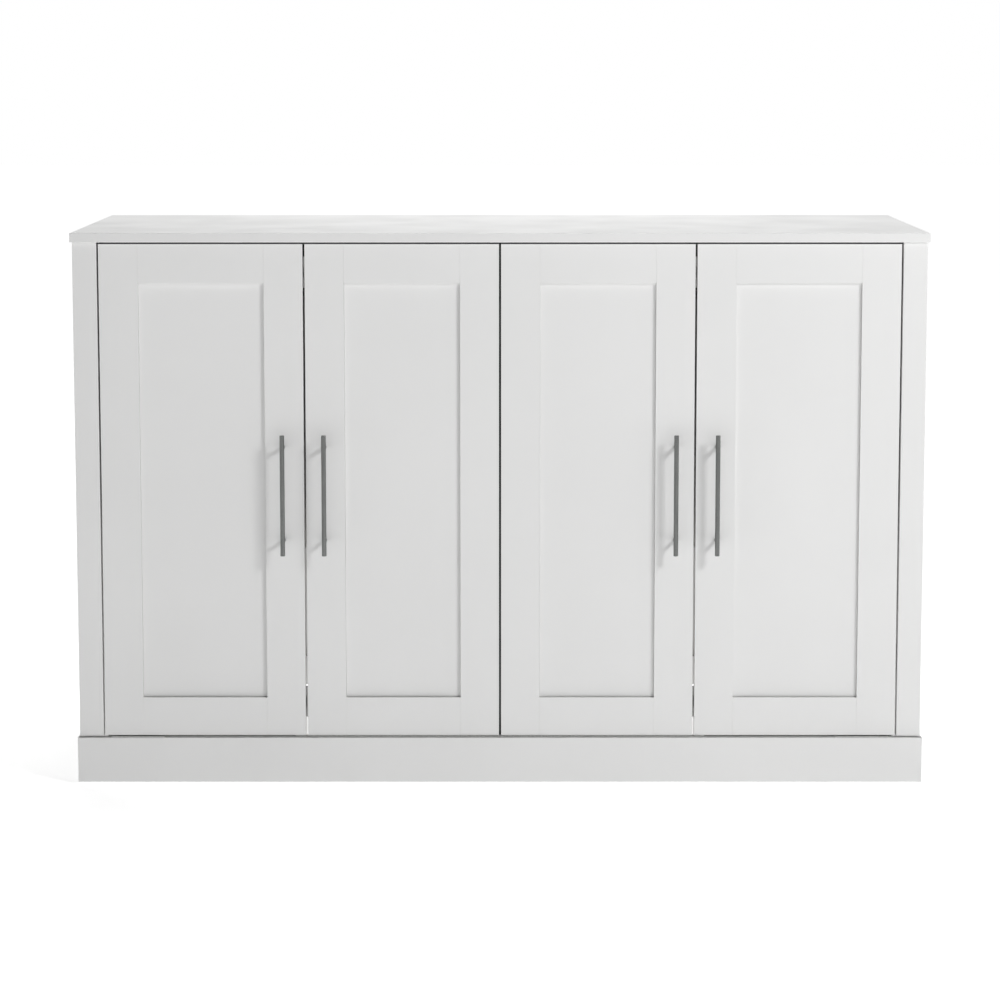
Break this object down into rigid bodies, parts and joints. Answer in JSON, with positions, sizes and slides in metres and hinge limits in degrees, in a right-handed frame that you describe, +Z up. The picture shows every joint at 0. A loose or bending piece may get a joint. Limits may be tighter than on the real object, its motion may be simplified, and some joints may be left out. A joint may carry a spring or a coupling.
{
  "type": "murphy cabinet bed",
  "caption": "White cabinet bed with bifold shaker doors on a rolling front that draws a hinged slatted bed and mattress out flat.",
  "frame": {"origin": "on the floor, under the middle of the closed cabinet's box, pulls included", "axes": "+X to the right, -Y out of the front where the doors are, +Z up"},
  "size_m": [1.651, 0.64, 1.08],
  "materials": {
    "white_paint": "satin white paint",
    "slat_wood": "clear matt lacquer",
    "black_steel": "black powder coat",
    "plated_steel": "zinc plated",
    "pull_steel": "dark brushed steel",
    "ticking": "quilted cotton ticking",
    "rubber": "matt rubber"
  },
  "bodies": {
    "cabinet": {"top_panel": "white_paint", "left_side_panel": "white_paint", "right_side_panel": "white_paint", "left_front_stile": "white_paint", "right_front_stile": "white_paint", "back_panel": "white_paint", "back_rails": "white_paint", "corner_braces": "plated_steel", "cabinet_glides": "rubber", "bed_brackets": "black_steel"},
    "section_1": {"section_1_frame": "black_steel", "section_1_slats": "slat_wood", "section_1_mattress": "ticking"},
    "section_2": {"section_2_frame": "black_steel", "section_2_slats": "slat_wood", "section_2_mattress": "ticking"},
    "section_3": {"section_3_frame": "black_steel", "section_3_slats": "slat_wood", "section_3_mattress": "ticking"},
    "section_4": {"section_4_frame": "black_steel", "section_4_slats": "slat_wood", "section_4_mattress": "ticking"},
    "rear_leg_pair": {"rear_legs": "black_steel", "rear_leg_pads": "rubber"},
    "front_leg_pair": {"front_legs": "black_steel", "front_leg_pads": "rubber"},
    "middle_trestle": {"trestle": "black_steel", "trestle_forks": "plated_steel"},
    "front_carriage": {"gate_frame": "black_steel", "gate_forks": "plated_steel", "plinth_board": "white_paint", "door_track": "black_steel", "pivot_plates": "plated_steel", "wear_strip": "plated_steel"},
    "left_outer_door": {"door_1_frame": "white_paint", "door_1_panel": "white_paint", "door_1_pull": "pull_steel", "left_hinge_outer_leaves": "plated_steel", "left_pivot_pins": "plated_steel"},
    "left_inner_door": {"door_2_frame": "white_paint", "door_2_panel": "white_paint", "door_2_pull": "pull_steel", "left_hinge_inner_leaves": "plated_steel", "left_guide_pin": "plated_steel"},
    "right_outer_door": {"door_4_frame": "white_paint", "door_4_panel": "white_paint", "door_4_pull": "pull_steel", "right_hinge_outer_leaves": "plated_steel", "right_pivot_pins": "plated_steel"},
    "right_inner_door": {"door_3_frame": "white_paint", "door_3_panel": "white_paint", "door_3_pull": "pull_steel", "right_hinge_inner_leaves": "plated_steel", "right_guide_pin": "plated_steel"},
    "trestle_wheel_left_spin": {"trestle_wheel_left": "rubber"},
    "trestle_wheel_right_spin": {"trestle_wheel_right": "rubber"},
    "gate_wheel_left_spin": {"gate_wheel_left": "rubber"},
    "gate_wheel_right_spin": {"gate_wheel_right": "rubber"}
  },
  "joints": [
    {"name": "bed_fold", "type": "hinge", "parent": "cabinet", "child": "section_1", "pos_m": [0, 0.303, 0.452], "axis": [1, 0, 0], "range_deg": [0, 90]},
    {"name": "section_2_fold", "type": "hinge", "parent": "section_1", "child": "section_2", "pos_m": [0, 0.171, 0.96], "axis": [1, 0, 0], "range_deg": [-180, 0]},
    {"name": "section_3_fold", "type": "hinge", "parent": "section_2", "child": "section_3", "pos_m": [0, 0.039, 0.452], "axis": [1, 0, 0], "range_deg": [0, 180]},
    {"name": "section_4_fold", "type": "hinge", "parent": "section_3", "child": "section_4", "pos_m": [0, -0.093, 0.96], "axis": [1, 0, 0], "range_deg": [-180, 0]},
    {"name": "carriage_pivot", "type": "hinge", "parent": "section_4", "child": "front_carriage", "pos_m": [0, -0.225, 0.452], "axis": [1, 0, 0], "range_deg": [0, 90]},
    {"name": "rear_legs_pivot", "type": "hinge", "parent": "section_1", "child": "rear_leg_pair", "pos_m": [0, 0.171, 0.96], "axis": [1, 0, 0], "range_deg": [-90, 0]},
    {"name": "trestle_pivot", "type": "hinge", "parent": "section_2", "child": "middle_trestle", "pos_m": [0, 0.039, 0.452], "axis": [1, 0, 0], "range_deg": [0, 90]},
    {"name": "front_legs_pivot", "type": "hinge", "parent": "section_3", "child": "front_leg_pair", "pos_m": [0, -0.093, 0.96], "axis": [1, 0, 0], "range_deg": [-90, 0]},
    {"name": "left_doors", "type": "hinge", "parent": "front_carriage", "child": "left_outer_door", "pos_m": [-0.7395, -0.276, 0], "axis": [0, 0, -1], "range_deg": [0, 90]},
    {"name": "left_door_fold", "type": "hinge", "parent": "left_outer_door", "child": "left_inner_door", "pos_m": [-0.3775, -0.264, 0], "axis": [0, 0, -1], "range_deg": [-180, 0]},
    {"name": "right_doors", "type": "hinge", "parent": "front_carriage", "child": "right_outer_door", "pos_m": [0.7395, -0.276, 0], "axis": [0, 0, 1], "range_deg": [0, 90]},
    {"name": "right_door_fold", "type": "hinge", "parent": "right_outer_door", "child": "right_inner_door", "pos_m": [0.3775, -0.264, 0], "axis": [0, 0, 1], "range_deg": [-180, 0]},
    {"name": "trestle_wheel_left_roll", "type": "hinge", "parent": "middle_trestle", "child": "trestle_wheel_left_spin", "pos_m": [-0.6, 0.039, 0.025], "axis": [1, 0, 0], "continuous": true},
    {"name": "trestle_wheel_right_roll", "type": "hinge", "parent": "middle_trestle", "child": "trestle_wheel_right_spin", "pos_m": [0.6, 0.039, 0.025], "axis": [1, 0, 0], "continuous": true},
    {"name": "gate_wheel_left_roll", "type": "hinge", "parent": "front_carriage", "child": "gate_wheel_left_spin", "pos_m": [-0.6, -0.2435, 0.025], "axis": [1, 0, 0], "continuous": true},
    {"name": "gate_wheel_right_roll", "type": "hinge", "parent": "front_carriage", "child": "gate_wheel_right_spin", "pos_m": [0.6, -0.2435, 0.025], "axis": [1, 0, 0], "continuous": true}
  ],
  "couplings": [
    {"joint": "section_2_fold", "follows": "bed_fold", "ratio": -2},
    {"joint": "section_3_fold", "follows": "bed_fold", "ratio": 2},
    {"joint": "section_4_fold", "follows": "bed_fold", "ratio": -2},
    {"joint": "carriage_pivot", "follows": "bed_fold", "ratio": 1},
    {"joint": "rear_legs_pivot", "follows": "bed_fold", "ratio": -1},
    {"joint": "trestle_pivot", "follows": "bed_fold", "ratio": 1},
    {"joint": "front_legs_pivot", "follows": "bed_fold", "ratio": -1},
    {"joint": "left_door_fold", "follows": "left_doors", "ratio": -2},
    {"joint": "right_door_fold", "follows": "right_doors", "ratio": -2}
  ]
}
